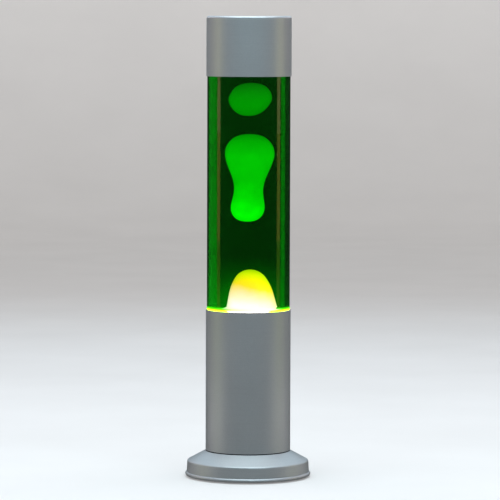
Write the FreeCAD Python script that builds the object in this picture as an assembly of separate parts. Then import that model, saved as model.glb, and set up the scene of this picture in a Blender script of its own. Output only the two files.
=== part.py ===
import FreeCAD, Part
import math
import os
from FreeCAD import Vector

# A lava lamp: a sealed glass bottle of liquid and wax stands in a tube-shaped base that
# holds a reflector bulb, and a loose cap covers the bottle's neck.
# Millimetres. +Z is up; the origin is the centre of the lamp on the surface it stands on.

# Driving sizes of the outside
LAMP_HEIGHT = 380.0
SHELL_R = 35.0            # cap and base tube, outside
SHEET = 0.7               # spun and drawn aluminium sheet
SHELL_BORE_R = SHELL_R - SHEET
TUBE_LOW = 22.4           # joint between the base tube and the foot
TUBE_HIGH = 138.7         # upper rim of the base tube
CAP_LOW = 330.6
CAP_CORNER_R = 2.0

# Foot
SLOPE_HIGH = 21.6         # top of the foot's slope, a narrow shadow gap below the tube
LEDGE_R = 34.65           # the ledge in the gap that the tube stands on
FOOT_EDGE_R = 50.1        # edge between the sloping top and the skirt
FOOT_EDGE_Z = 13.5
SKIRT_LOW_R = 50.7
BEAD_R = 1.6              # rolled lower edge
BEAD_RING_R = 50.2
BEAD_Z = 2.7
COLLAR_HIGH = 30.0        # the foot's collar inside the tube

# Base plate and feet
PLATE_R = 48.0
PLATE_LOW = 2.4
PLATE_HIGH = 4.4
PLATE_SCREW_R = 44.0
PLATE_SCREW_ANGLES = (30, 150, 270)
BOSS_HIGH = 6.4
PAD_R = 6.0
PAD_RING_R = 39.0
VENT_COUNT = 12
VENT_LOW_R = 27.5
VENT_HIGH_R = 31.5

# Bottle
GLASS_R = 34.0
GLASS_WALL = 2.4
GLASS_BORE_R = GLASS_R - GLASS_WALL
GLASS_LOW = 118.6
GLASS_FLOOR = 122.0
SHOULDER_Z = 346.0
NECK_R = 12.9
FINISH_R = 13.3
FINISH_HIGH = 370.0
MOUTH_R = 8.5
LIQUID_HIGH = 336.0
POOL_HIGH = 139.0         # wax pool that fills the bottle's lower end

# Wax, as (radius, height) from pole to pole
UPPER_BLOB_X = 0.6
UPPER_BLOB = (
    (0, 325.4), (6.1, 324.0), (9.9, 320.3), (11.9, 315.2), (12.1, 310.8),
    (10.5, 306.0), (7.4, 301.4), (3.6, 298.9), (0, 298.4),
)
MIDDLE_BLOB_X = -0.2
MIDDLE_BLOB = (
    (0, 283.5), (7.4, 281.6), (11.8, 276.6), (13.7, 271.2), (13.9, 264.9), (12.2, 256.7), (9.5, 247.2),
    (8.3, 238.6), (8.8, 231.0), (9.6, 223.4), (8.4, 217.0), (5.0, 212.8), (0, 211.6),
)
MOUND_X = 1.0
MOUND = (
    (0, 172.2), (5.7, 169.7), (9.0, 164.6), (11.3, 158.0), (12.7, 151.2), (13.7, 144.6), (14.3, 139.0),
    (13.2, 130.0), (0, 126.0),
)
BLOB_CLEARANCE = 0.3

# Inside of the cap
INSERT_R = 33.0
INSERT_LOW = 371.0
INSERT_WEB = 1.6
INSERT_HIGH = LAMP_HEIGHT - SHEET
WEB_LOW = INSERT_HIGH - INSERT_WEB
SLEEVE_BORE_R = 16.8
SLEEVE_R = 18.2
SLEEVE_LOW = 362.0

# Screw lamp cap and holder, E14
THREAD_PITCH = 2.82
CAP_CORE_R = 6.2
CAP_CREST_R = 6.94
HOLDER_WALL_R = 7.4
HOLDER_CREST_R = 6.65
BULB_THREAD_LOW = 31.6    # the holder's ridge starts half a pitch higher, in the groove

# Bulb and lampholder
BULB_TIP_Z = 26.0
BULB_R = 19.5
BULB_CROWN_Z = 92.5
HOLDER_BASE_Z = 15.0
HOLDER_TOP_Z = 45.2
HOLDER_R = 13.4
TERMINAL_X = 10.6
TERMINAL_Z = 20.5
HOLDER_SCREWS = ((0.0, 6.5), (0.0, -6.5))
BRACKET_SCREWS = ((20.5, -4.0), (-20.5, -4.0))
EARTH_SCREW = (20.5, 4.5)
EARTH_BARREL_Z = PLATE_HIGH + 2.5

# Terminal block, leads and cord inlet
BLOCK_WAYS_X = (-9.0, 0.0, 9.0)
BLOCK_FRONT_Y = 18.0
BLOCK_BACK_Y = 29.0
BLOCK_HIGH = 15.0
WAY_Z = 8.5
LEAD_R = 1.0
INLET_Z = 36.0
INLET_R = 3.2

ORIGIN = Vector(0, 0, 0)
UP = Vector(0, 0, 1)
BACK = Vector(0, 1, 0)


# ---------------------------------------------------------------- helpers

def in_xz(a, b):
    return Vector(a, 0, b)


def outline(corners, place=in_xz):
    """Closed wire through (a, b) corners; a third number rounds that corner with an arc."""
    ends = []
    for i, corner in enumerate(corners):
        here = place(corner[0], corner[1])
        radius = corner[2] if len(corner) > 2 else 0
        following = corners[(i + 1) % len(corners)]
        arrive = (place(corners[i - 1][0], corners[i - 1][1]) - here).normalize()
        leave = (place(following[0], following[1]) - here).normalize()
        if radius:
            half = arrive.getAngle(leave) / 2
            reach = radius / math.tan(half)
            middle = here + (arrive + leave).normalize() * (radius / math.sin(half) - radius)
            ends.append((here + arrive * reach, middle, here + leave * reach))
        else:
            ends.append((here, None, here))
    edges = []
    for i, (start, middle, end) in enumerate(ends):
        if middle:
            edges.append(Part.Arc(start, middle, end).toShape())
        following = ends[(i + 1) % len(ends)][0]
        if end.distanceToPoint(following) > 1e-6:
            edges.append(Part.LineSegment(end, following).toShape())
    return Part.Wire(edges)


def outward(solid):
    """The same solid with its faces looking out."""
    return solid if solid.Volume > 0 else solid.reversed()


def lathe(*corners):
    """Solid turned about the Z axis from a closed (radius, height) outline."""
    return outward(Part.Face(outline(corners)).revolve(ORIGIN, UP, 360))


def lathe_back(*corners):
    """Solid turned about the Y axis from a closed (radius, y) outline."""
    wire = outline(corners, lambda a, b: Vector(a, b, 0))
    return outward(Part.Face(wire).revolve(ORIGIN, BACK, 360))


def bar_along_y(corners, half_width):
    """Solid with a closed (x, z) outline, centred on y = 0."""
    wire = outline(corners, lambda a, b: Vector(a, -half_width, b))
    return outward(Part.Face(wire).extrude(Vector(0, 2 * half_width, 0)))


def disc(radius, low, high, x=0.0, y=0.0):
    return Part.makeCylinder(radius, high - low, Vector(x, y, low))


def rod_back(radius, front, back, x, z):
    """Cylinder along Y."""
    return Part.makeCylinder(radius, back - front, Vector(x, front, z), BACK)


def block(low, high):
    size = Vector(*high) - Vector(*low)
    return Part.makeBox(size.x, size.y, size.z, Vector(*low))


def turned(shape, degrees):
    copy = shape.copy()
    copy.rotate(ORIGIN, UP, degrees)
    return copy


def moved(shape, x, y, z):
    copy = shape.copy()
    copy.translate(Vector(x, y, z))
    return copy


def around(shape, count, first=0.0):
    return [turned(shape, first + 360 * i / count) for i in range(count)]


def without(shape, cuts):
    return shape.cut(list(cuts))


def pole_to_pole(points):
    """Smooth curve from the top pole to the bottom one, level at both."""
    curve = Part.BSplineCurve()
    curve.interpolate(Points=points, InitialTangent=Vector(1, 0, 0), FinalTangent=Vector(-1, 0, 0))
    return curve


def drop(profile, x, grow=0.0):
    """Smooth solid of revolution about the upright line at x, through (radius, height) points.

    A pocket around such a solid is the same curve moved out by grow.
    """
    points = [in_xz(radius, height) for radius, height in profile]
    curve = pole_to_pole(points)
    if grow:
        slopes = [curve.tangent(curve.parameter(point))[0] for point in points]
        points = [point + Vector(-slope.z, 0, slope.x) * grow for point, slope in zip(points, slopes)]
        curve = pole_to_pole(points)
    axis = Part.LineSegment(points[-1], points[0]).toShape()
    face = Part.Face(Part.Wire([curve.toShape(), axis]))
    return moved(outward(face.revolve(ORIGIN, UP, 360)), x, 0, 0)


def bent_wire(route, radius):
    """Round wire along straight runs joined by tangent arcs, each as large as its runs allow."""
    points = [Vector(*p) for p in route]
    edges = []
    start = points[0]
    for before, corner, after in zip(points, points[1:], points[2:]):
        arrive = before - corner
        leave = after - corner
        reach = 0.45 * min(arrive.Length, leave.Length)
        half = arrive.getAngle(leave) / 2
        arrive.normalize()
        leave.normalize()
        bend = reach * math.tan(half)
        middle = corner + (arrive + leave).normalize() * (bend / math.sin(half) - bend)
        edges.append(Part.LineSegment(start, corner + arrive * reach).toShape())
        edges.append(Part.Arc(corner + arrive * reach, middle, corner + leave * reach).toShape())
        start = corner + leave * reach
    edges.append(Part.LineSegment(start, points[-1]).toShape())
    path = Part.Wire(edges)
    section = Part.Wire([Part.Circle(points[0], points[1] - points[0], radius).toShape()])
    return outward(path.makePipeShell([section], True, False))


def screw(shank_r, length, head_r, head_height):
    """Pan-head screw driven upwards: the head hangs below z = 0 and has a cross recess."""
    head = lathe((0, -head_height), (head_r, -head_height, head_height * 0.6), (head_r, 0), (0, 0))
    shank = lathe((0, -0.01), (shank_r, -0.01), (shank_r, length - 0.6), (shank_r - 0.5, length), (0, length))
    slot = block((-head_r * 0.6, -0.35, -head_height), (head_r * 0.6, 0.35, -head_height * 0.45))
    return without(head.fuse(shank), [slot, turned(slot, 90)])


def helical_ridge(root_r, crest_r, low, high):
    """One right-hand thread ridge between two radii, with sloping flanks."""
    root_half = 0.9
    crest_half = 0.35
    helix = moved(Part.makeHelix(THREAD_PITCH, high - low, root_r), 0, 0, low)
    section = Part.makePolygon([
        Vector(root_r, 0, low - root_half),
        Vector(crest_r, 0, low - crest_half),
        Vector(crest_r, 0, low + crest_half),
        Vector(root_r, 0, low + root_half),
        Vector(root_r, 0, low - root_half),
    ])
    return outward(Part.Wire(helix.Edges).makePipeShell([section], True, True))


# ---------------------------------------------------------------- base shell

def base_tube():
    tube = lathe(
        (SHELL_BORE_R, TUBE_LOW), (SHELL_R, TUBE_LOW),
        (SHELL_R, TUBE_HIGH, 0.3), (SHELL_BORE_R, TUBE_HIGH, 0.3),
    )
    return tube.cut(rod_back(4.4, 25, 40, 0, INLET_Z))


def foot_skirt():
    collar_r = SHELL_BORE_R
    sheet = lathe(
        (collar_r - SHEET, COLLAR_HIGH), (collar_r - SHEET, SLOPE_HIGH - SHEET, 0.5),
        (SHELL_R - 0.2, SLOPE_HIGH - SHEET), (FOOT_EDGE_R - 0.8, FOOT_EDGE_Z - 0.5, 0.8),
        (SKIRT_LOW_R - SHEET, BEAD_Z), (SKIRT_LOW_R, BEAD_Z),
        (FOOT_EDGE_R, FOOT_EDGE_Z, 1.5), (SHELL_R + 0.2, SLOPE_HIGH), (LEDGE_R, SLOPE_HIGH),
        (LEDGE_R, TUBE_LOW), (collar_r, TUBE_LOW), (collar_r, COLLAR_HIGH),
    )
    bead = Part.makeTorus(BEAD_RING_R, BEAD_R, Vector(0, 0, BEAD_Z))
    return sheet.fuse(bead)


def base_plate():
    plate = lathe(
        (0, PLATE_LOW), (PLATE_R, PLATE_LOW, 0.5), (PLATE_R, BOSS_HIGH - 0.4),
        (PLATE_R - 1.2, BOSS_HIGH - 0.4), (PLATE_R - 1.2, PLATE_HIGH), (0, PLATE_HIGH),
    )
    bosses = [turned(disc(3.6, PLATE_HIGH - 0.1, BOSS_HIGH, PLATE_SCREW_R), a) for a in PLATE_SCREW_ANGLES]
    vent = block((VENT_LOW_R, -1.5, 0), (VENT_HIGH_R, 1.5, 10))
    vent = vent.fuse([disc(1.5, 0, 10, VENT_LOW_R), disc(1.5, 0, 10, VENT_HIGH_R)])
    holes = [turned(disc(1.55, 0, 10, PLATE_SCREW_R), a) for a in PLATE_SCREW_ANGLES]
    holes += [disc(1.55, 0, 10, x, y) for x, y in BRACKET_SCREWS]
    holes += around(vent, VENT_COUNT, 180 / VENT_COUNT)
    return without(plate.fuse(bosses), holes)


def plate_lugs():
    """Three angle brackets spot-welded inside the skirt, which take the plate's screws."""
    inside = lathe(
        (0, BOSS_HIGH - 2), (SKIRT_LOW_R - SHEET, BEAD_Z), (FOOT_EDGE_R - 0.8, FOOT_EDGE_Z - 0.5),
        (SHELL_R - 0.2, SLOPE_HIGH - SHEET), (0, SLOPE_HIGH - SHEET),
    )
    angle = bar_along_y(
        [
            (39.5, BOSS_HIGH), (52, BOSS_HIGH), (52, 11.8),
            (48.0, 11.8), (48.0, BOSS_HIGH + 1, 0.8), (39.5, BOSS_HIGH + 1),
        ],
        5.0,
    )
    lug = angle.common(inside).cut(disc(1.55, 0, 20, PLATE_SCREW_R))
    return [turned(lug, a) for a in PLATE_SCREW_ANGLES]


def plate_screws():
    one = moved(screw(1.5, 6.0, 2.8, 1.4), PLATE_SCREW_R, 0, PLATE_LOW)
    return [turned(one, a) for a in PLATE_SCREW_ANGLES]


def rubber_feet():
    pad = lathe((0, 0), (PAD_R - 0.6, 0, 0.5), (PAD_R, PLATE_LOW), (0, PLATE_LOW))
    return around(moved(pad, PAD_RING_R, 0, 0), 4, 45)


def seat_ring():
    """Pressed ring inside the tube that carries the bottle."""
    return lathe(
        (25.0, 116.8), (SHELL_BORE_R - SHEET, 116.8, 0.8), (SHELL_BORE_R - SHEET, 109.0),
        (SHELL_BORE_R, 109.0), (SHELL_BORE_R, 117.6, 1.2), (25.0, 117.6),
    )


def seat_gasket():
    return lathe((25.6, 117.6), (31.0, 117.6), (31.0, GLASS_LOW, 0.3), (25.6, GLASS_LOW, 0.3))


# ---------------------------------------------------------------- lampholder

def lampholder_bracket():
    top = HOLDER_BASE_Z
    bridge = bar_along_y(
        [
            (-25, PLATE_HIGH), (-15, PLATE_HIGH, 1.0), (-15, top - 1, 0.5), (15, top - 1, 0.5),
            (15, PLATE_HIGH, 1.0), (25, PLATE_HIGH), (25, PLATE_HIGH + 1), (16, PLATE_HIGH + 1, 0.5),
            (16, top, 1.5), (-16, top, 1.5), (-16, PLATE_HIGH + 1, 0.5), (-25, PLATE_HIGH + 1),
        ],
        9.0,
    )
    feet_holes = [disc(1.55, 0, 10, x, y) for x, y in BRACKET_SCREWS + (EARTH_SCREW,)]
    top_holes = [disc(1.55, 10, 20, x, y) for x, y in HOLDER_SCREWS]
    return without(bridge, feet_holes + top_holes)


def bracket_screws():
    return [moved(screw(1.5, 7.0, 2.8, 1.4), x, y, PLATE_LOW) for x, y in BRACKET_SCREWS]


def nut(low, x, y):
    corners = [(3.1 * math.cos(math.radians(60 * i)), 3.1 * math.sin(math.radians(60 * i))) for i in range(6)]
    wire = outline(corners, lambda a, b: Vector(a, b, 0))
    body = outward(Part.Face(wire).extrude(Vector(0, 0, 2.4)))
    return moved(body.cut(disc(1.55, -1, 4)), x, y, low)


def bracket_nuts():
    return [nut(PLATE_HIGH + 1, x, y) for x, y in BRACKET_SCREWS]


def lampholder_body():
    body = lathe(
        (0, HOLDER_BASE_Z), (HOLDER_R, HOLDER_BASE_Z, 1.2), (HOLDER_R, 38.0), (12.2, 40.0),
        (12.2, HOLDER_TOP_Z, 0.6), (7.9, HOLDER_TOP_Z), (7.9, 24.0), (0, 24.0),
    )
    pocket = block((9.3, -3.6, 17.0), (14.0, 3.6, 24.0))
    entry = rod_back(LEAD_R + 0.3, 3.0, 14.0, TERMINAL_X, TERMINAL_Z)
    screw_holes = [disc(1.35, 10, 22, x, y) for x, y in HOLDER_SCREWS]
    mirrored_entry = rod_back(LEAD_R + 0.3, 3.0, 14.0, -TERMINAL_X, TERMINAL_Z)
    return without(body, [pocket, turned(pocket, 180), entry, mirrored_entry] + screw_holes)


def lampholder_screws():
    return [moved(screw(1.3, 7.0, 2.6, 1.4), x, y, HOLDER_BASE_Z - 1) for x, y in HOLDER_SCREWS]


def lampholder_thread():
    shell = lathe(
        (HOLDER_WALL_R, 31.5), (HOLDER_WALL_R + 0.4, 31.5), (HOLDER_WALL_R + 0.4, HOLDER_TOP_Z),
        (10.2, HOLDER_TOP_Z), (10.2, HOLDER_TOP_Z + 0.4), (HOLDER_WALL_R, HOLDER_TOP_Z + 0.4, 0.4),
    )
    low = BULB_THREAD_LOW + THREAD_PITCH / 2
    return shell.fuse(helical_ridge(HOLDER_WALL_R + 0.1, HOLDER_CREST_R, low, 41.5))


def lampholder_contact():
    """U-shaped leaf spring under the bulb's tip."""
    return bar_along_y(
        [
            (-6.5, 24.0), (5.8, 24.0, 0.9), (5.8, 25.7, 0.8), (-2.5, 25.7),
            (-2.5, 25.3), (5.4, 25.3, 0.4), (5.4, 24.4, 0.5), (-6.5, 24.4),
        ],
        2.0,
    )


def lampholder_terminals():
    cube = block((9.3, -3.0, 17.6), (12.6, 3.0, 23.4))
    cube = cube.cut(rod_back(LEAD_R + 0.1, -0.5, 4.0, TERMINAL_X, TERMINAL_Z))
    clamp = without(disc(1.2, 23.4, 24.0, TERMINAL_X, 0), [block((8, -0.25, 23.7), (13, 0.25, 24.2))])
    terminal = cube.fuse(clamp)
    mirror = terminal.mirror(ORIGIN, Vector(1, 0, 0))
    return [terminal, mirror]


# ---------------------------------------------------------------- wiring

def terminal_block():
    body = block((-13.5, BLOCK_FRONT_Y, PLATE_HIGH), (13.5, BLOCK_BACK_Y, BLOCK_HIGH))
    cuts = []
    for x in BLOCK_WAYS_X:
        cuts.append(rod_back(1.6, BLOCK_FRONT_Y - 1, BLOCK_BACK_Y + 1, x, WAY_Z))
        cuts += [disc(2.0, WAY_Z, 20, x, y) for y in (BLOCK_FRONT_Y + 3, BLOCK_BACK_Y - 3)]
    for x in (-4.5, 4.5):
        cuts.append(block((x - 0.6, BLOCK_FRONT_Y - 1, 11), (x + 0.6, BLOCK_BACK_Y + 1, 20)))
    return without(body, cuts)


def terminal_block_screws():
    one = disc(1.7, WAY_Z + 1.3, BLOCK_HIGH - 1.5)
    one = one.cut(block((-2, -0.3, BLOCK_HIGH - 2.2), (2, 0.3, BLOCK_HIGH)))
    return [moved(one, x, y, 0) for x in BLOCK_WAYS_X for y in (BLOCK_FRONT_Y + 3, BLOCK_BACK_Y - 3)]


def power_lead(side):
    """Lead from the terminal block up to one of the lampholder's terminals."""
    return bent_wire(
        [
            (9.0 * side, BLOCK_FRONT_Y + 1.5, WAY_Z), (9.0 * side, 14.8, WAY_Z + 0.4),
            (9.6 * side, 14.4, 15.5), (TERMINAL_X * side, 12.8, TERMINAL_Z),
            (TERMINAL_X * side, 0.5, TERMINAL_Z),
        ],
        LEAD_R,
    )


def earth_lead():
    return bent_wire(
        [
            (0, BLOCK_FRONT_Y + 1.5, WAY_Z), (0.4, 14.6, 8.3), (6.5, 12.6, 7.8),
            (14.5, 14.2, 7.3), (20.5, 15.0, EARTH_BARREL_Z), (20.5, 8.8, EARTH_BARREL_Z),
        ],
        LEAD_R,
    )


def earth_terminal():
    """Crimped ring terminal on the bracket's foot."""
    x, y = EARTH_SCREW
    low = PLATE_HIGH + 1
    ring = disc(2.9, low, low + 0.8, x, y).fuse(block((x - 1.3, y + 1, low), (x + 1.3, 8.4, low + 0.8)))
    barrel = rod_back(1.5, 8.2, 11.6, x, EARTH_BARREL_Z).cut(rod_back(LEAD_R, 8, 12, x, EARTH_BARREL_Z))
    return ring.fuse(barrel).cut(disc(1.55, 0, 10, x, y))


def earth_screw():
    x, y = EARTH_SCREW
    top = PLATE_HIGH + 1.8
    upside_down = screw(1.5, 1.8, 2.8, 1.4)
    upside_down.rotate(ORIGIN, Vector(1, 0, 0), 180)
    return moved(upside_down, x, y, top)


def cord_bushing():
    """Moulded bushing in the tube's back wall; its bore is the cord inlet."""
    ring = lathe_back(
        (INLET_R, 32.0, 0.5), (5.8, 32.0, 0.5), (5.8, 33.5), (4.3, 33.5),
        (4.3, 35.1), (6.2, 35.1), (6.2, 36.6, 0.7), (INLET_R, 36.6, 0.5),
    )
    return moved(ring, 0, 0, INLET_Z)


# ---------------------------------------------------------------- bulb

def bulb_contact():
    return lathe((0, BULB_TIP_Z), (1.8, BULB_TIP_Z, 0.8), (2.3, 27.6), (2.3, 28.6), (0, 28.6))


def bulb_insulator():
    return lathe(
        (2.45, 27.5), (3.4, 27.2, 0.4), (5.6, 29.9), (5.6, 32.2), (0, 32.2), (0, 28.8), (2.45, 28.8),
    )


def bulb_screw_shell():
    shell = lathe(
        (CAP_CORE_R - 0.5, 30.0), (CAP_CORE_R, 30.2), (CAP_CORE_R, 43.2), (7.0, 43.8, 0.3),
        (7.0, 48.0), (6.5, 48.0), (6.5, 44.2), (CAP_CORE_R - 0.5, 43.6),
    )
    return shell.fuse(helical_ridge(CAP_CORE_R - 0.1, CAP_CREST_R, BULB_THREAD_LOW, 41.8))


def bulb_envelope():
    """Reflector bulb's glass, 39 mm across: a narrow neck, a flared back and a shallow front."""
    return lathe(
        (5.6, 44.5), (6.4, 44.5), (6.4, 54.0, 8), (BULB_R, 73.0, 9), (BULB_R, 90.6, 7.5), (0, BULB_CROWN_Z),
        (0, BULB_CROWN_Z - 0.8), (BULB_R - 0.8, 89.8, 6.7), (BULB_R - 0.8, 73.3, 9), (5.6, 54.3, 8),
    )


def bulb_stem():
    return lathe(
        (0, 41.5), (1.8, 41.5), (1.8, 45.2), (5.55, 45.2), (5.55, 46.0),
        (2.9, 48.5, 1.5), (2.4, 62.0, 0.8), (0, 62.0),
    )


def bulb_support_wires():
    route = ((1.2, 0, 58.0), (1.3, 0, 64.5), (3.2, 0, 70.0), (6.1, 0, 75.6))
    one = bent_wire(route, 0.3)
    return [one, turned(one, 180)]


def bulb_filament():
    pitch = 0.8
    length = 11.2
    radius = 0.55
    helix = Part.makeHelix(pitch, length, radius)
    section = Part.Wire([Part.Circle(Vector(radius, 0, 0), BACK, 0.13).toShape()])
    coil = outward(Part.Wire(helix.Edges).makePipeShell([section], True, True))
    coil.rotate(ORIGIN, BACK, 90)
    return moved(coil, -length / 2, 0, 75.8)


# ---------------------------------------------------------------- bottle

def glass_bottle():
    return lathe(
        (0, GLASS_LOW), (GLASS_R, GLASS_LOW, 4.0), (GLASS_R, SHOULDER_Z, 11.0), (NECK_R, 353.0, 6.0),
        (NECK_R, 363.8), (FINISH_R, 364.4), (FINISH_R, FINISH_HIGH, 1.5), (MOUTH_R, FINISH_HIGH, 1.0),
        (MOUTH_R, 351.0, 4.0), (GLASS_BORE_R, SHOULDER_Z - 3.0, 9.0),
        (GLASS_BORE_R, GLASS_FLOOR, 4.5), (0, GLASS_FLOOR),
    )


def closure_seal():
    return disc(12.8, FINISH_HIGH, FINISH_HIGH + 0.6)


def crown_closure():
    """Crimped metal closure with 21 flutes."""
    inside = FINISH_HIGH + 0.6
    shell = lathe(
        (0, inside), (13.35, inside), (13.35, 365.2),
        (16.0, 365.2, 0.3), (14.6, inside + 0.6, 1.4), (0, inside + 0.6),
    )
    flute = disc(1.3, 360, 369.4, 16.75)
    return without(shell, around(flute, 21))


def wax_mound():
    """Molten pool over the bottle's floor, with the mound that rises from it."""
    pool = lathe(
        (0, GLASS_FLOOR), (GLASS_BORE_R, GLASS_FLOOR, 4.5), (GLASS_BORE_R, POOL_HIGH), (0, POOL_HIGH),
    )
    return pool.fuse(drop(MOUND, MOUND_X))


def heating_coil():
    """Wire coil bent into a ring on the bottle's floor, with its two ends a little apart."""
    ring_r = 24.0
    coil_r = 1.8
    wire_r = 0.4
    turns = 36
    steps_per_turn = 8
    points = []
    for step in range(turns * steps_per_turn - 3):
        along = 2 * math.pi * step / (turns * steps_per_turn)
        radius = ring_r + coil_r * math.cos(along * turns)
        height = GLASS_FLOOR + coil_r + wire_r + 0.2 + coil_r * math.sin(along * turns)
        points.append(Vector(radius * math.cos(along), radius * math.sin(along), height))
    curve = Part.BSplineCurve()
    curve.interpolate(points)
    direction = curve.tangent(curve.FirstParameter)[0]
    section = Part.Wire([Part.Circle(points[0], direction, wire_r).toShape()])
    return outward(Part.Wire([curve.toShape()]).makePipeShell([section], True, True))


def lamp_liquid():
    column_r = GLASS_BORE_R - 0.05
    column = lathe((0, POOL_HIGH), (column_r, POOL_HIGH), (column_r, LIQUID_HIGH), (0, LIQUID_HIGH))
    upper_pocket = drop(UPPER_BLOB, UPPER_BLOB_X, BLOB_CLEARANCE)
    middle_pocket = drop(MIDDLE_BLOB, MIDDLE_BLOB_X, BLOB_CLEARANCE)
    return without(column, [drop(MOUND, MOUND_X), upper_pocket, middle_pocket])


# ---------------------------------------------------------------- cap

def top_cap():
    return lathe(
        (SHELL_BORE_R, CAP_LOW, 0.3), (SHELL_R, CAP_LOW, 0.3), (SHELL_R, LAMP_HEIGHT, CAP_CORNER_R),
        (0, LAMP_HEIGHT), (0, LAMP_HEIGHT - SHEET), (SHELL_BORE_R, LAMP_HEIGHT - SHEET, CAP_CORNER_R - SHEET),
    )


def cap_insert():
    """Ribbed plastic disc that stiffens the cap's top and holds the sleeve."""
    web = lathe((0, WEB_LOW), (INSERT_R, WEB_LOW), (INSERT_R, INSERT_HIGH), (0, INSERT_HIGH))
    rim_bore = INSERT_R - 1.2
    rim = lathe((rim_bore, INSERT_LOW), (INSERT_R, INSERT_LOW), (INSERT_R, WEB_LOW), (rim_bore, WEB_LOW))
    rib = block((SLEEVE_R, -0.6, INSERT_LOW + 1), (INSERT_R - 1, 0.6, WEB_LOW))
    return web.fuse([rim] + around(rib, 8))


def cap_sleeve():
    """Sleeve under the insert that slips over the crown closure and centres the cap."""
    return lathe(
        (SLEEVE_BORE_R, SLEEVE_LOW, 0.5), (SLEEVE_R, SLEEVE_LOW, 0.4),
        (SLEEVE_R, WEB_LOW), (SLEEVE_BORE_R, WEB_LOW),
    )


def cap_pad():
    """Foam disc that rests on the crown closure."""
    radius = SLEEVE_BORE_R - 0.4
    return lathe((0, INSERT_LOW + 0.4), (radius, INSERT_LOW + 0.4, 0.8), (radius, WEB_LOW), (0, WEB_LOW))


# ---------------------------------------------------------------- nodes

NODES = {
    "base_tube": base_tube(),
    "foot_skirt": foot_skirt(),
    "base_plate": base_plate(),
    "plate_lugs": plate_lugs(),
    "plate_screws": plate_screws(),
    "rubber_feet": rubber_feet(),
    "seat_ring": seat_ring(),
    "seat_gasket": seat_gasket(),
    "lampholder_bracket": lampholder_bracket(),
    "bracket_screws": bracket_screws(),
    "bracket_nuts": bracket_nuts(),
    "lampholder_body": lampholder_body(),
    "lampholder_screws": lampholder_screws(),
    "lampholder_thread": lampholder_thread(),
    "lampholder_contact": lampholder_contact(),
    "lampholder_terminals": lampholder_terminals(),
    "terminal_block": terminal_block(),
    "terminal_block_screws": terminal_block_screws(),
    "live_lead": power_lead(-1),
    "neutral_lead": power_lead(1),
    "earth_lead": earth_lead(),
    "earth_terminal": earth_terminal(),
    "earth_screw": earth_screw(),
    "cord_bushing": cord_bushing(),
    "bulb_contact": bulb_contact(),
    "bulb_insulator": bulb_insulator(),
    "bulb_screw_shell": bulb_screw_shell(),
    "bulb_envelope": bulb_envelope(),
    "bulb_stem": bulb_stem(),
    "bulb_support_wires": bulb_support_wires(),
    "bulb_filament": bulb_filament(),
    "glass_bottle": glass_bottle(),
    "closure_seal": closure_seal(),
    "crown_closure": crown_closure(),
    "wax_mound": wax_mound(),
    "heating_coil": heating_coil(),
    "lamp_liquid": lamp_liquid(),
    "wax_blob_middle": drop(MIDDLE_BLOB, MIDDLE_BLOB_X),
    "wax_blob_upper": drop(UPPER_BLOB, UPPER_BLOB_X),
    "top_cap": top_cap(),
    "cap_insert": cap_insert(),
    "cap_sleeve": cap_sleeve(),
    "cap_pad": cap_pad(),
}

os.makedirs("parts", exist_ok=True)
for name, shape in NODES.items():
    whole = Part.Compound(shape) if isinstance(shape, list) else shape
    valid = all(solid.isValid() for solid in whole.Solids)
    print(f"{name}: {len(whole.Solids)} solids, {whole.Volume / 1000:.3f} cm3, valid {valid}")
    whole.exportStep(f"parts/{name}.step")
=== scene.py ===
# A lava lamp in a plain pale studio. Metres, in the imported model's own frame.
import math

import bmesh
import bpy
import numpy as np
from mathutils import Euler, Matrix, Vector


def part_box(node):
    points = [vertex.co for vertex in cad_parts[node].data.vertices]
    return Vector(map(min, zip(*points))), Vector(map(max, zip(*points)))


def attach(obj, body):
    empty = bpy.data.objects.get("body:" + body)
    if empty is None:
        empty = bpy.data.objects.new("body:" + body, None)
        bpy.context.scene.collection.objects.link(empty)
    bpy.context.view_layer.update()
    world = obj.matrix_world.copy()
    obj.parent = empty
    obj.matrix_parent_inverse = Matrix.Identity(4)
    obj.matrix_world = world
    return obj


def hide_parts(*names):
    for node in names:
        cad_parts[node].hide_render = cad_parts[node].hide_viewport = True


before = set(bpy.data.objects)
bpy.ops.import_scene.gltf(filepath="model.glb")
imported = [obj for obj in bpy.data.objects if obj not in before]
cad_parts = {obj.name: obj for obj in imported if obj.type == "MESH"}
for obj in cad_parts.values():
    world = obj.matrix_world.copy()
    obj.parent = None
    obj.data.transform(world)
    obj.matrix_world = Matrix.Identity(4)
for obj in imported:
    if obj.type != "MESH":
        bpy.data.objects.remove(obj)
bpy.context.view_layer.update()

MM = 0.001

# Places and sizes read from the frame
LAMP_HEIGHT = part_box("top_cap")[1].z
CAP_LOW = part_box("top_cap")[0].z
SHELL_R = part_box("top_cap")[1].x
TUBE_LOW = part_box("base_tube")[0].z
GLASS_LOW, GLASS_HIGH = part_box("glass_bottle")[0].z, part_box("glass_bottle")[1].z
GLASS_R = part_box("glass_bottle")[1].x
BORE_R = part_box("wax_mound")[1].x
FLOOR_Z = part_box("wax_mound")[0].z
MOUND_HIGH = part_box("wax_mound")[1].z
LIQUID_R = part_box("lamp_liquid")[1].x
POOL_HIGH, LIQUID_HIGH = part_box("lamp_liquid")[0].z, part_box("lamp_liquid")[1].z
NECK_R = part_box("closure_seal")[1].x

# The shown bottle fills part of its clearance to the cap and the tube
BOTTLE_R = GLASS_R + 0.2 * MM
# Thickness of the cap's sheet metal
SHEET = 0.7 * MM
# Sides of every turned mesh, and the longest straight run between two of its rings
SEGMENTS = 192
LONGEST_STEP = 5 * MM
# Radii under this are a point on the axis
ON_AXIS = 1e-7
# Faces that meet at a steeper angle than this keep a sharp edge, in degrees
SHARP_ANGLE = 40


# ---------------------------------------------------------------- mesh helpers

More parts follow.
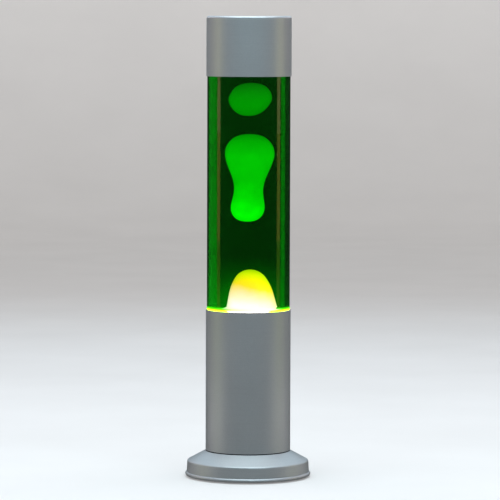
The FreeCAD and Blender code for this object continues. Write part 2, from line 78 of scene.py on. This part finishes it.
def rounded(corners, steps=8):
    """(radius, height) outline through corners; a third number rounds that corner with an arc."""
    points = []
    for i, corner in enumerate(corners):
        here = np.array(corner[:2], float)
        if len(corner) == 2:
            points.append(here)
            continue
        radius = corner[2]
        arrive = np.array(corners[i - 1][:2], float) - here
        leave = np.array(corners[i + 1][:2], float) - here
        arrive /= np.linalg.norm(arrive)
        leave /= np.linalg.norm(leave)
        half = math.acos(np.clip(arrive @ leave, -1, 1)) / 2
        bisector = (arrive + leave) / np.linalg.norm(arrive + leave)
        centre = here + bisector * radius / math.sin(half)
        start = here + arrive * radius / math.tan(half) - centre
        end = here + leave * radius / math.tan(half) - centre
        turn = math.pi - 2 * half
        for step in range(steps + 1):
            share = step / steps
            arc = start * math.sin((1 - share) * turn) + end * math.sin(share * turn)
            points.append(centre + arc / math.sin(turn))
    return points


def with_rings(points):
    """The same outline with extra points along its long straight runs."""
    out = []
    for a, b in zip(points, points[1:]):
        runs = max(1, math.ceil(np.linalg.norm(b - a) / LONGEST_STEP))
        out += [a + (b - a) * k / runs for k in range(runs)]
    return out + [points[-1]]


def turned_mesh(name, points, bow=None):
    """Mesh turned about the Z axis from (radius, height) points.

    bow(height) gives a ring's (x, y) centre and its depth as a share of its width.
    """
    vertices, rings, faces = [], [], []
    for radius, height in points:
        x, y, depth = bow(height) if bow else (0, 0, 1)
        if radius < ON_AXIS:
            rings.append([len(vertices)])
            vertices.append((x, y, height))
            continue
        rings.append(list(range(len(vertices), len(vertices) + SEGMENTS)))
        for k in range(SEGMENTS):
            angle = 2 * math.pi * k / SEGMENTS
            vertices.append((x + radius * math.cos(angle), y + depth * radius * math.sin(angle), height))
    for low, high in zip(rings, rings[1:]):
        for k in range(SEGMENTS):
            n = (k + 1) % SEGMENTS
            if len(low) == 1:
                faces.append((low[0], high[n], high[k]))
            elif len(high) == 1:
                faces.append((low[k], low[n], high[0]))
            else:
                faces.append((low[k], low[n], high[n], high[k]))
    mesh = bpy.data.meshes.new(name)
    mesh.from_pydata(vertices, [], faces)
    work = bmesh.new()
    work.from_mesh(mesh)
    bmesh.ops.recalc_face_normals(work, faces=work.faces)
    work.to_mesh(mesh)
    work.free()
    return mesh


def piece(name, mesh, body, replaced, slot, *materials):
    """Put in the scene a piece that stands for a CAD node and moves with its body."""
    made = bpy.data.objects.new(name, mesh)
    bpy.context.scene.collection.objects.link(made)
    for material in materials:
        mesh.materials.append(material)
    mesh.shade_smooth()
    mesh.set_sharp_from_angle(angle=math.radians(SHARP_ANGLE))
    weighted = made.modifiers.new("weighted normals", "WEIGHTED_NORMAL")
    weighted.keep_sharp = True
    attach(made, body)
    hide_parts(replaced)


def smooth_line(points, steps=10):
    """Smooth curve through (radius, height) points, level where it meets the axis."""
    mirrored = [(-r, z) for r, z in points[-2:0:-1]]
    loop = np.array(list(points) + mirrored, float)
    count = len(loop)
    system = 4 * np.eye(count) + np.roll(np.eye(count), 1, 0) + np.roll(np.eye(count), -1, 0)
    slopes = np.linalg.solve(system, 3 * (np.roll(loop, -1, 0) - np.roll(loop, 1, 0)))
    out = []
    for i in range(len(points) - 1):
        a, b, m, n = loop[i], loop[i + 1], slopes[i], slopes[i + 1]
        for step in range(steps):
            t = step / steps
            out.append(
                a * (2 * t ** 3 - 3 * t ** 2 + 1) + m * (t ** 3 - 2 * t ** 2 + t)
                + b * (3 * t ** 2 - 2 * t ** 3) + n * (t ** 3 - t ** 2)
            )
    out.append(loop[len(points) - 1])
    return [np.array((max(r, 0), z)) for r, z in out]


# ---------------------------------------------------------------- material helpers

# Most of a noise texture's values lie between these two
NOISE_LOW, NOISE_HIGH = 0.3, 0.7


class Shader:
    """A material with one Principled shader, and short calls for the nodes that feed it."""

    def __init__(self, name, **values):
        self.material = bpy.data.materials.new(name)
        self.material.use_nodes = True
        self.tree = self.material.node_tree
        self.tree.nodes.clear()
        self.output = self.node("OutputMaterial")
        self.principled = self.node("BsdfPrincipled")
        self.link(self.principled.outputs["BSDF"], self.output.inputs["Surface"])
        for socket, value in values.items():
            self.principled.inputs[socket.replace("_", " ")].default_value = value
        self.place = self.node("TexCoord").outputs["Object"]

    def node(self, kind):
        return self.tree.nodes.new("ShaderNode" + kind)

    def link(self, a, b):
        self.tree.links.new(a, b)

    def noise(self, scale, detail=3.0, stretch=(1, 1, 1)):
        """Noise whose grains are 1/scale metres across, and smaller along an axis stretched over 1."""
        mapping = self.node("Mapping")
        mapping.inputs["Scale"].default_value = stretch
        texture = self.node("TexNoise")
        texture.inputs["Scale"].default_value = scale
        texture.inputs["Detail"].default_value = detail
        self.link(self.place, mapping.inputs["Vector"])
        self.link(mapping.outputs["Vector"], texture.inputs["Vector"])
        return texture.outputs["Fac"]

    def remap(self, value, low, high, from_low=0.0, from_high=1.0):
        """Value carried from (from_low, from_high) to (low, high), and held at those ends."""
        mapped = self.node("MapRange")
        self.link(value, mapped.inputs["Value"])
        ends = (("From Min", from_low), ("From Max", from_high), ("To Min", low), ("To Max", high))
        for socket, number in ends:
            mapped.inputs[socket].default_value = number
        return mapped.outputs["Result"]

    def combine(self, a, b, operation):
        result = self.node("Math")
        result.operation = operation
        self.link(a, result.inputs[0])
        self.link(b, result.inputs[1])
        return result.outputs[0]

    def add(self, a, b):
        return self.combine(a, b, "ADD")

    def times(self, a, b):
        return self.combine(a, b, "MULTIPLY")

    def squared(self, value):
        return self.times(value, value)

    def ramp(self, value, stops, smooth=True):
        """Colour that runs through (position, colour) stops as the value rises."""
        ramp = self.node("ValToRGB")
        ramp.color_ramp.interpolation = "B_SPLINE" if smooth else "LINEAR"
        while len(ramp.color_ramp.elements) < len(stops):
            ramp.color_ramp.elements.new(0.5)
        for element, (position, colour) in zip(ramp.color_ramp.elements, stops):
            element.position = position
            element.color = (*colour, 1)
        self.link(value, ramp.inputs["Fac"])
        return ramp.outputs["Color"]

    def along(self, axis):
        """Place along the lamp's own X, Y or Z axis, in metres."""
        split = self.node("SeparateXYZ")
        self.link(self.place, split.inputs["Vector"])
        return split.outputs[axis]

    def height(self):
        return self.along("Z")

    def across(self):
        return self.along("X")

    def from_axis(self, shift=0.0):
        """Distance from an upright line that stands shift to the right of the lamp's axis."""
        moved = self.node("VectorMath")
        moved.operation = "SUBTRACT"
        moved.inputs[1].default_value = (shift, 0, 0)
        self.link(self.place, moved.inputs[0])
        flat = self.node("VectorMath")
        flat.operation = "MULTIPLY"
        flat.inputs[1].default_value = (1, 1, 0)
        self.link(moved.outputs["Vector"], flat.inputs[0])
        length = self.node("VectorMath")
        length.operation = "LENGTH"
        self.link(flat.outputs["Vector"], length.inputs[0])
        return length.outputs["Value"]

    def mix(self, share, a, b):
        """Colour a where share is 0, colour b where it is 1; each is a node's output."""
        mixed = self.node("MixRGB")
        self.link(share, mixed.inputs["Fac"])
        self.link(a, mixed.inputs["Color1"])
        self.link(b, mixed.inputs["Color2"])
        return mixed.outputs["Color"]

    def bump(self, value, strength, distance):
        bump = self.node("Bump")
        bump.inputs["Strength"].default_value = strength
        bump.inputs["Distance"].default_value = distance
        self.link(value, bump.inputs["Height"])
        self.link(bump.outputs["Normal"], self.principled.inputs["Normal"])

    def colour(self, value, darker, lighter):
        """Base colour that wanders between two colours with a noise value."""
        stops = [(NOISE_LOW, darker), (NOISE_HIGH, lighter)]
        self.link(self.ramp(value, stops, smooth=False), self.principled.inputs["Base Color"])

    def roughness(self, value, low, high):
        """Roughness that wanders between two values with a noise value."""
        wander = self.remap(value, low, high, NOISE_LOW, NOISE_HIGH)
        self.link(wander, self.principled.inputs["Roughness"])


def shade(colour, share):
    """The same hue, darker with a share under 1 and lighter with one over 1."""
    return tuple(channel * share for channel in colour)


# ---------------------------------------------------------------- materials

def satin_silver(name="satin_silver", seam=None):
    """Fine satin finish on spun aluminium: faint turning lines and a very fine grain.

    seam is the (radius, height) of the edge inside and above which the gap gets painted shade: a near-black
    colour in place of its shadow.
    """
    seam_shade_edge = 0.15 * MM
    s = Shader(name, Metallic=0.7)
    turning = s.noise(40, 4, (1, 1, 60))
    grain = s.noise(2600, 2)
    clouds = s.noise(18, 3)
    speckle = s.noise(1300, 1)
    mottle = s.add(s.add(s.remap(turning, 0.0, 0.3), s.remap(clouds, 0.0, 0.2)), s.remap(speckle, 0.0, 0.5))
    s.colour(mottle, (0.515, 0.515, 0.515), (0.585, 0.585, 0.585))
    if seam:
        radius, height = seam
        inwards = s.remap(s.from_axis(), 1.0, 0.0, radius - seam_shade_edge, radius)
        upwards = s.remap(s.height(), 0.0, 1.0, height - seam_shade_edge, height)
        silver = s.principled.inputs["Base Color"].links[0].from_socket
        # painted shade: near-black colour in the seam gap that stands in for the gap's shadow
        painted_seam_shade = s.ramp(speckle, [(NOISE_LOW, (0.01, 0.012, 0.012)), (NOISE_HIGH, (0.014, 0.016, 0.016))])
        s.link(s.mix(s.times(inwards, upwards), silver, painted_seam_shade), s.principled.inputs["Base Color"])
    s.roughness(s.add(s.remap(clouds, 0.0, 0.5), s.remap(grain, 0.0, 0.5)), 0.42, 0.5)
    s.bump(s.add(s.remap(turning, 0.0, 0.25), grain), 0.08, 0.05 * MM)
    return s.material


def metal(name, colour, rough, grain_scale=900, wear=0.12, lines=(1, 1, 1)):
    """Bare or plated metal with a grain, soft stains and lightly worn spots."""
    s = Shader(name, Metallic=1.0)
    grain = s.noise(grain_scale, 3, lines)
    stains = s.noise(90, 4)
    s.colour(stains, shade(colour, 1 - wear), shade(colour, 1 + wear / 3))
    s.roughness(s.add(s.remap(grain, 0.0, 0.5), s.remap(stains, 0.0, 0.5)), rough - 0.07, rough + 0.09)
    s.bump(grain, 0.15, 0.04 * MM)
    return s.material


def moulded(name, colour, rough, grain_scale=1500, depth=0.03 * MM):
    """Moulded plastic, rubber or foam with a fine skin grain and uneven gloss."""
    s = Shader(name)
    grain = s.noise(grain_scale, 3)
    clouds = s.noise(60, 3)
    mottle = s.add(s.remap(grain, 0.0, 0.4), s.remap(clouds, 0.0, 0.6))
    s.colour(mottle, shade(colour, 0.86), shade(colour, 1.12))
    s.roughness(s.add(s.remap(grain, 0.0, 0.5), s.remap(clouds, 0.0, 0.5)), rough - 0.08, rough + 0.08)
    s.bump(grain, 0.35, depth)
    return s.material


def clear_glass(name, ior):
    """Clear glass with a faintly uneven tint; ior 1 leaves light unbent where liquid or wax wets it."""
    s = Shader(name, Transmission_Weight=1.0, IOR=ior, Roughness=0.0)
    s.colour(s.noise(30, 2), (0.975, 0.99, 0.978), (0.99, 1.0, 0.99))
    return s.material


def green_liquid():
    """Liquid that lets little but green through, with a faint haze of light over the hot wax.

    The haze thins out upwards and to both sides. The glass around the liquid does all the bending of light.
    """
    haze_height = 45 * MM
    middle_strength = 1.55
    s = Shader("green_liquid", Transmission_Weight=1.0, IOR=1.0, Roughness=0.0)
    s.colour(s.noise(12, 2), (0.985, 0.995, 0.985), (1.0, 1.0, 1.0))
    level = s.remap(s.height(), 0.0, 1.0, POOL_HIGH, POOL_HIGH + haze_height)
    haze = [(0.0, (0, 0.17, 0)), (0.3, (0, 0.1, 0)), (0.6, (0, 0.035, 0)), (1.0, (0, 0, 0))]
    s.link(s.ramp(level, haze), s.principled.inputs["Emission Color"])
    fade = s.remap(s.squared(s.across()), middle_strength, 0.0, 0.0, LIQUID_R ** 2)
    s.link(fade, s.principled.inputs["Emission Strength"])
    s.material.cycles.emission_sampling = "NONE"
    absorption = s.node("VolumeAbsorption")
    absorption.inputs["Color"].default_value = (0.0, 0.544, 0.08, 1)
    absorption.inputs["Density"].default_value = 125
    s.link(absorption.outputs["Volume"], s.output.inputs["Volume"])
    return s.material


# Where the mound stands on the pool: its centre, right of the axis, and the radii over which it ends
MOUND_FOOT_X = 2 * MM
MOUND_FOOT_R = (13.5 * MM, 17.5 * MM)
# Depths under the pool's top over which the mound's own glow ends
MOUND_FOOT_DEPTH = (3 * MM, 1 * MM)
# The pool's front is whole at the first of each pair and has ended at the second, forwards and sideways
POOL_FRONT_Y = (-20 * MM, -12 * MM)
POOL_FRONT_X = (12 * MM, 17 * MM)
# Distance from the axis at which glowing wax has all of its swell
SWELL_REACH = 18 * MM


def pool_share(s, low):
    """How far a place is in the pool: 0 on the mound that stands on it, 1 around and under the mound."""
    outwards = s.remap(s.from_axis(MOUND_FOOT_X), 0.0, 1.0, *MOUND_FOOT_R)
    deep, shallow = MOUND_FOOT_DEPTH
    downwards = s.remap(s.height(), 1.0, 0.0, low - deep, low - shallow)
    return s.add(outwards, downwards)


def front_share(s):
    """1 at the front of the pool, before the mound, and 0 at its sides and back."""
    ahead = s.remap(s.along("Y"), 1.0, 0.0, *POOL_FRONT_Y)
    middle = s.remap(s.squared(s.across()), 1.0, 0.0, *(x ** 2 for x in POOL_FRONT_X))
    return s.times(ahead, middle)


def glowing_wax(name, low, high, stops, strength, mottle=0.06, swell=0.35, tilt=0.0, pool=None):
    """Wax lit through from below: its glow changes with height, with faint soft mottling.

    swell is the share by which it is stronger at SWELL_REACH to either side. tilt is how much the
    pattern drops from left to right, in its own heights per metre. pool is the glow around and under
    the mound, as (at the sides and back, in front).
    """
    s = Shader(name, Roughness=0.35)
    gain = s.remap(s.squared(s.across()), strength, strength * (1 + swell), 0.0, SWELL_REACH ** 2)
    s.link(gain, s.principled.inputs["Emission Strength"])
    level = s.add(s.remap(s.height(), 0.0, 1.0, low, high), s.remap(s.across(), -tilt, tilt, -1.0, 1.0))
    wander = s.remap(s.noise(110, 3), -mottle, mottle, NOISE_LOW, NOISE_HIGH)
    glow = s.ramp(s.add(level, wander), stops, smooth=False)
    if pool:
        pool_glow = s.ramp(front_share(s), list(enumerate(pool)), smooth=False)
        glow = s.mix(pool_share(s, low), glow, pool_glow)
    s.link(glow, s.principled.inputs["Emission Color"])
    s.colour(s.noise(140, 3), (0.02, 0.16, 0.01), (0.03, 0.2, 0.02))
    s.material.cycles.emission_sampling = "NONE"
    return s.material


def molten_wax():
    """Nearly white at the pool, then yellow, then lime at the top of the mound; the pool's rim is lime."""
    stops = [
        (0.0, (1.1, 0.16, 0.62)),
        (0.15, (1.1, 0.157, 0.48)),
        (0.3, (1.1, 0.153, 0.33)),
        (0.45, (1.15, 0.147, 0.19)),
        (0.6, (1.15, 0.155, 0.014)),
        (0.75, (1.1, 0.2, 0.003)),
        (0.9, (1.05, 0.24, 0.001)),
        (1.0, (0.95, 0.23, 0.0)),
    ]
    pool = ((0.135, 0.225, 0.0024), (0.33, 0.26, 0.22))
    return glowing_wax(
        "molten_wax", POOL_HIGH, MOUND_HIGH, stops,
        strength=16.0, mottle=0.03, swell=0.8, tilt=10.0, pool=pool,
    )


def green_wax(name, node, stops, strength):
    """Floating wax whose glow runs over its CAD node's own height."""
    low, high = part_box(node)
    return glowing_wax(name, low.z, high.z, stops, strength)


MATERIALS = {
    "satin_silver": satin_silver(),
    "black_plastic": moulded("black_plastic", (0.022, 0.022, 0.023), 0.5),
    "zinc_steel": metal("zinc_steel", (0.6, 0.61, 0.6), 0.34),
    "black_rubber": moulded("black_rubber", (0.018, 0.018, 0.018), 0.72, 2200),
    "bare_aluminium": metal("bare_aluminium", (0.72, 0.73, 0.74), 0.33, 500, 0.08, (1, 1, 0.2)),
    "silicone": moulded("silicone", (0.68, 0.67, 0.63), 0.55),
    "phenolic": moulded("phenolic", (0.035, 0.024, 0.018), 0.38, 1200),
    "nickel_brass": metal("nickel_brass", (0.7, 0.68, 0.6), 0.22),
    "brass": metal("brass", (0.76, 0.58, 0.28), 0.28),
    "white_nylon": moulded("white_nylon", (0.78, 0.78, 0.75), 0.42),
    "brown_insulation": moulded("brown_insulation", (0.12, 0.045, 0.02), 0.4),
    "blue_insulation": moulded("blue_insulation", (0.03, 0.12, 0.45), 0.4),
    "green_insulation": moulded("green_insulation", (0.2, 0.48, 0.05), 0.4),
    "solder": metal("solder", (0.55, 0.55, 0.55), 0.3),
    "black_glass": moulded("black_glass", (0.01, 0.01, 0.014), 0.12, 300, 0.01 * MM),
    "bulb_glass": metal("bulb_glass", (0.8, 0.8, 0.78), 0.12, 200, 0.05),
    "clear_glass": clear_glass("clear_glass", 1.45),
    "tungsten": metal("tungsten", (0.3, 0.28, 0.25), 0.45),
    "seal_white": moulded("seal_white", (0.76, 0.76, 0.73), 0.5),
    "closure_gold": metal("closure_gold", (0.62, 0.46, 0.18), 0.25, 400),
    "molten_wax": molten_wax(),
    "steel_wire": metal("steel_wire", (0.5, 0.5, 0.5), 0.3),
    "green_liquid": green_liquid(),
    "grey_plastic": moulded("grey_plastic", (0.2, 0.2, 0.21), 0.48),
    "foam": moulded("foam", (0.08, 0.08, 0.08), 0.9, 900, 0.3 * MM),
}
MATERIALS["green_wax"] = green_wax(
    "green_wax", "wax_blob_middle",
    [(0.0, (0.0, 1.0, 0.0)), (0.2, (0.0, 0.72, 0.0)), (0.45, (0.0, 0.5, 0.0)), (0.8, (0.0, 0.34, 0.0)),
     (1.0, (0.0, 0.29, 0.0))], 4.0,
)
UPPER_WAX = green_wax(
    "upper_wax", "wax_blob_upper",
    [(0.0, (0.0, 0.5, 0.0)), (0.5, (0.0, 0.4, 0.0)), (1.0, (0.01, 0.3, 0.01))], 2.15,
)


# Painted shade in the gap under the tube starts this far below the tube's edge, just over the foot's ledge
SEAM_SHADE_DEPTH = 0.75 * MM


def dress_cad_nodes():
    """Every carried-over node gets the procedural material of its slot, and the foot a seam with painted
    shade.
    """
    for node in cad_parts.values():
        for index, given in enumerate(node.data.materials):
            node.data.materials[index] = MATERIALS[given.name.split(".")[0]]
    seam = (SHELL_R, TUBE_LOW - SEAM_SHADE_DEPTH)
    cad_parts["foot_skirt"].data.materials[0] = satin_silver("satin_silver_foot", seam)


# ---------------------------------------------------------------- cap

def cap_shell():
    """Spun cap: a rounded top edge, straight sides, and an open hollow below."""
    bore = SHELL_R - SHEET
    outline = rounded([
        (0, LAMP_HEIGHT), (SHELL_R, LAMP_HEIGHT, 2 * MM), (SHELL_R, CAP_LOW, 0.3 * MM),
        (bore, CAP_LOW, 0.3 * MM), (bore, LAMP_HEIGHT - SHEET, 1.3 * MM), (0, LAMP_HEIGHT - SHEET),
    ])
    mesh = turned_mesh("cap_shell", with_rings(outline))
    piece("cap_shell", mesh, "cap", "top_cap", "satin_silver", MATERIALS["satin_silver"])


# ---------------------------------------------------------------- bottle, liquid and wax

def bottle():
    """Glass bottle with a shoulder, neck and lip; its wetted inside has a glass of its own."""
    shoulder = LIQUID_HIGH + 10 * MM
    mouth_r = 8.5 * MM
    lip_r = NECK_R + 0.5 * MM
    outline = rounded([
        (0, GLASS_LOW), (BOTTLE_R, GLASS_LOW, 4 * MM), (BOTTLE_R, shoulder, 11 * MM),
        (NECK_R, shoulder + 7 * MM, 6 * MM), (NECK_R, GLASS_HIGH - 6 * MM),
        (lip_r, GLASS_HIGH - 5.6 * MM), (lip_r, GLASS_HIGH, 1.5 * MM),
        (mouth_r, GLASS_HIGH, 1 * MM), (mouth_r, shoulder + 5 * MM, 4 * MM),
        (BORE_R, shoulder - 3 * MM, 9 * MM), (BORE_R, FLOOR_Z, 4.5 * MM), (0, FLOOR_Z),
    ])
    mesh = turned_mesh("bottle", with_rings(outline))
    piece(
        "bottle", mesh, "bottle", "glass_bottle", "clear_glass",
        MATERIALS["clear_glass"], clear_glass("wetted_glass", 1.0),
    )
    wall_slack, floor_slack = 0.2 * MM, 0.1 * MM
    for face in mesh.polygons:
        x, y, z = face.center
        inside = math.hypot(x, y) < BORE_R + wall_slack and z > FLOOR_Z - floor_slack
        if inside and z < LIQUID_HIGH:
            face.material_index = 1


# (radius, height over the mound's top) along the wax's upper side, in mm
MOUND = (
    (0, 0), (5.7, -2.5), (9.0, -7.6), (11.3, -14.2), (12.7, -21.0), (13.7, -27.6), (14.5, -31.6),
    (16.5, -33.1), (21, -33.2), (26.5, -33.2), (31.6, -33.0),
)


def mound_line():
    """Outline of the wax's upper side, from the mound's top out to the glass."""
    return smooth_line([(r * MM, MOUND_HIGH + z * MM) for r, z in MOUND])


def mound_bow(height):
    """The mound leans to the right as it widens downwards; its foot curves back to the centred pool."""
    foot_share = 1 / 16
    rise = max(0.0, min(1.0, (height - POOL_HIGH) / (MOUND_HIGH - POOL_HIGH)))
    settle = min(1.0, rise / foot_share)
    foot_x, top_x, centre_y = 2.1 * MM, 1.0 * MM, 0.3 * MM
    return (foot_x + (top_x - foot_x) * rise) * settle, centre_y * settle, 1.0


def wax_mound():
    """Pool on the bottle's floor with the mound that rises from it."""
    film = 0.02 * MM
    pool_r, pool_low = BORE_R - film, FLOOR_Z + film
    top = [point for point in mound_line() if point[0] < pool_r]
    edge = rounded([(pool_r, top[-1][1]), (pool_r, pool_low, 4.5 * MM), (0, pool_low)])
    mesh = turned_mesh("wax_pool_and_mound", with_rings(top + edge), bow=mound_bow)
    piece("wax_pool_and_mound", mesh, "bottle", "wax_mound", "molten_wax", MATERIALS["molten_wax"])


def liquid():
    """Liquid column from the wax to the fill level; it reaches just under the wax's skin."""
    skin, wall_gap = 0.3 * MM, 0.2 * MM
    under = [point - np.array((0, skin)) for point in mound_line() if point[0] < LIQUID_R - wall_gap]
    wall = rounded([(0, LIQUID_HIGH), (LIQUID_R, LIQUID_HIGH), (LIQUID_R, under[-1][1])])
    mesh = turned_mesh("liquid", with_rings(wall + under[::-1]), bow=mound_bow)
    piece("liquid", mesh, "bottle", "lamp_liquid", "green_liquid", MATERIALS["green_liquid"])


# (radius in mm, share of the drop's height) from top to bottom
MIDDLE = (
    (0, 1.0), (7.4, 0.974), (11.8, 0.904), (13.7, 0.829), (13.9, 0.741), (12.2, 0.627), (9.5, 0.495),
    (8.3, 0.376), (8.8, 0.27), (9.6, 0.164), (8.4, 0.075), (5.0, 0.017), (0, 0.0),
)
UPPER = (
    (0, 1.0), (6.1, 0.948), (9.9, 0.811), (11.9, 0.622), (12.1, 0.459), (10.5, 0.281), (7.4, 0.111),
    (3.6, 0.019), (0, 0.0),
)


# Depth of floating wax from front to back, as a share of its width
DROP_DEPTH = 0.97


def drop(name, node, body, shares, lean, material):
    """Floating wax; lean's rows are (share of height, x, y) of its centre, x and y in mm from the axis."""
    low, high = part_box(node)
    tall = high.z - low.z
    outline = smooth_line([(r * MM, low.z + share * tall) for r, share in shares])
    levels = [row[0] for row in lean]

    def bow(height):
        share = (height - low.z) / tall
        x = float(np.interp(share, levels, [row[1] for row in lean]))
        y = float(np.interp(share, levels, [row[2] for row in lean]))
        return x * MM, y * MM, DROP_DEPTH

    mesh = turned_mesh(name, outline, bow=bow)
    piece(name, mesh, body, node, "green_wax", material)


# ---------------------------------------------------------------- studio

# Dim colour of the room beyond the sweep
AIR = (0.018, 0.02, 0.02)

# Name, place, turn in degrees, the two sides, and the watts of red, green and blue
SOFTBOXES = (
    ("softbox_top", (0, -0.2, 1.1), (0, 0, 0), 1.2, 1.2, (10.3, 12.2, 13.2)),
    ("softbox_front", (0, -1.1, 1.1), (45, 0, 0), 2.4, 0.9, (1.3, 3.5, 4.4)),
    ("softbox_back", (0, 1.1, 0.95), (-50, 0, 0), 2.4, 0.9, (3.0, 4.6, 5.6)),
)
# The same, mirrored to both sides
SIDE_SOFTBOXES = (
    ("side", (1.1, 0, 0.95), (0, 50, 0), 0.9, 1.6, (0.9, 1.05, 1.75)),
    ("side_back", (1.0, 0.8, 0.8), (0, 66, 39), 0.45, 1.2, (1.0, 0.6, 0.5)),
)
# Panels mirrored to both sides that only show as reflections in the metal and the glass
SIDE_REFLECTORS = (
    ("kicker", (0.26, 0, 0.02), (0, 90, 0), 0.03, 0.3, (0.025, 0.024, 0.026)),
    ("strip_high", (1.0, 0, 0.35), (0, 90, 0), 0.2, 0.22, (0.2, 0.17, 0.066)),
    ("strip_middle", (1.0, 0, 0.19), (0, 90, 0), 0.12, 0.22, (0.09, 0.085, 0.013)),
    ("strip_low", (1.0, 0, 0.085), (0, 90, 0), 0.09, 0.22, (0.025, 0.052, 0.003)),
)
# Green-tinted panels behind the lamp that only shine through the glass and the liquid, not mirrored
RIM_PANELS = (
    ("rim_right", (0.8, 0.75, 0.25), (0, 90, 47), 1.2, 0.5, (0.5, 4.0, 0.4)),
    ("rim_left", (-0.71, 0.84, 0.25), (0, -90, -40), 1.2, 0.2, (0.2, 1.6, 0.15)),
)


def area_light(name, place, turn, width, height, watts):
    """Rectangular light that the camera doesn't see."""
    data = bpy.data.lights.new(name, "AREA")
    data.shape = "RECTANGLE"
    data.size = width
    data.size_y = height
    data.energy = max(watts)
    data.color = [channel / max(watts) for channel in watts]
    light = bpy.data.objects.new(name, data)
    light.location = place
    light.rotation_euler = [math.radians(a) for a in turn]
    light.visible_camera = False
    bpy.context.scene.collection.objects.link(light)
    return light


def studio_sweep():
    """Pale floor that curves up into a wall all the way round; the lamp doesn't mirror it."""
    flat, bend, wall = 3.0, 1.3, 3.0
    outline = rounded([(0, 0), (flat + bend, 0, bend), (flat + bend, wall)], steps=24)
    mesh = turned_mesh("studio_sweep", outline)
    sweep = bpy.data.objects.new("studio_sweep", mesh)
    bpy.context.scene.collection.objects.link(sweep)
    mesh.shade_smooth()
    s = Shader("studio_paper", Roughness=0.85)
    s.colour(s.noise(6, 3), (0.548, 0.517, 0.498), (0.583, 0.552, 0.533))
    wash = s.ramp(s.remap(s.height(), 0.0, 1.0, 0.0, bend), [(0.0, (0.15,) * 3), (1.0, (0.68,) * 3)])
    s.link(wash, s.principled.inputs["Emission Color"])
    s.principled.inputs["Emission Strength"].default_value = 1.0
    s.material.cycles.emission_sampling = "NONE"
    mesh.materials.append(s.material)
    sweep.visible_glossy = False


def studio_light():
    """Softboxes and reflectors round the lamp, and one soft light high up for the whole room."""
    world = bpy.data.worlds.new("studio_air")
    bpy.context.scene.world = world
    world.use_nodes = True
    background = world.node_tree.nodes["Background"]
    background.inputs["Color"].default_value = (*AIR, 1)
    background.inputs["Strength"].default_value = 1.0
    for values in SOFTBOXES:
        area_light(*values)
    for rows, diffuse in ((SIDE_SOFTBOXES, True), (SIDE_REFLECTORS, False)):
        for name, (x, y, z), (about_x, about_y, about_z), *rest in rows:
            right = area_light(name + "_right", (x, y, z), (about_x, about_y, about_z), *rest)
            left = area_light(name + "_left", (-x, y, z), (about_x, -about_y, -about_z), *rest)
            right.visible_diffuse = left.visible_diffuse = diffuse
    for values in RIM_PANELS:
        panel = area_light(*values)
        panel.visible_glossy = panel.visible_diffuse = False
    room = bpy.data.lights.new("room", "POINT")
    room.energy = 60
    room.shadow_soft_size = 0.6
    light = bpy.data.objects.new("room", room)
    light.location = (0, 0, 2.7)
    light.visible_camera = False
    light.visible_glossy = False
    bpy.context.scene.collection.objects.link(light)


def camera():
    """Long lens at the height of the lamp's top, looking slightly down."""
    data = bpy.data.cameras.new("camera")
    data.sensor_width = 36
    data.lens = 238.2
    made = bpy.data.objects.new("camera", data)
    made.location = (0.00129, -2.7208, LAMP_HEIGHT)
    down, roll = math.radians(4.046), math.radians(0.174)
    aim = Euler((math.pi / 2 - down, 0, 0)).to_quaternion()
    made.rotation_mode = "QUATERNION"
    made.rotation_quaternion = aim @ Euler((0, 0, roll)).to_quaternion()
    bpy.context.scene.collection.objects.link(made)
    bpy.context.scene.camera = made


dress_cad_nodes()
cap_shell()
bottle()
wax_mound()
liquid()
drop(
    "middle_wax", "wax_blob_middle", "middle_blob", MIDDLE,
    ((0.0, -0.7, 0.2), (0.2, -0.45, 0.1), (0.45, 0.2, -0.2), (0.75, 0.6, 0.1), (1.0, 0.5, 0.3)),
    MATERIALS["green_wax"],
)
drop(
    "upper_wax", "wax_blob_upper", "upper_blob", UPPER,
    ((0.0, -0.2, 0.1), (0.3, 0.3, 0.0), (0.7, 1.2, 0.1), (1.0, 1.4, 0.2)), UPPER_WAX,
)
studio_sweep()
studio_light()
camera()
bpy.context.scene.view_settings.view_transform = "Standard"
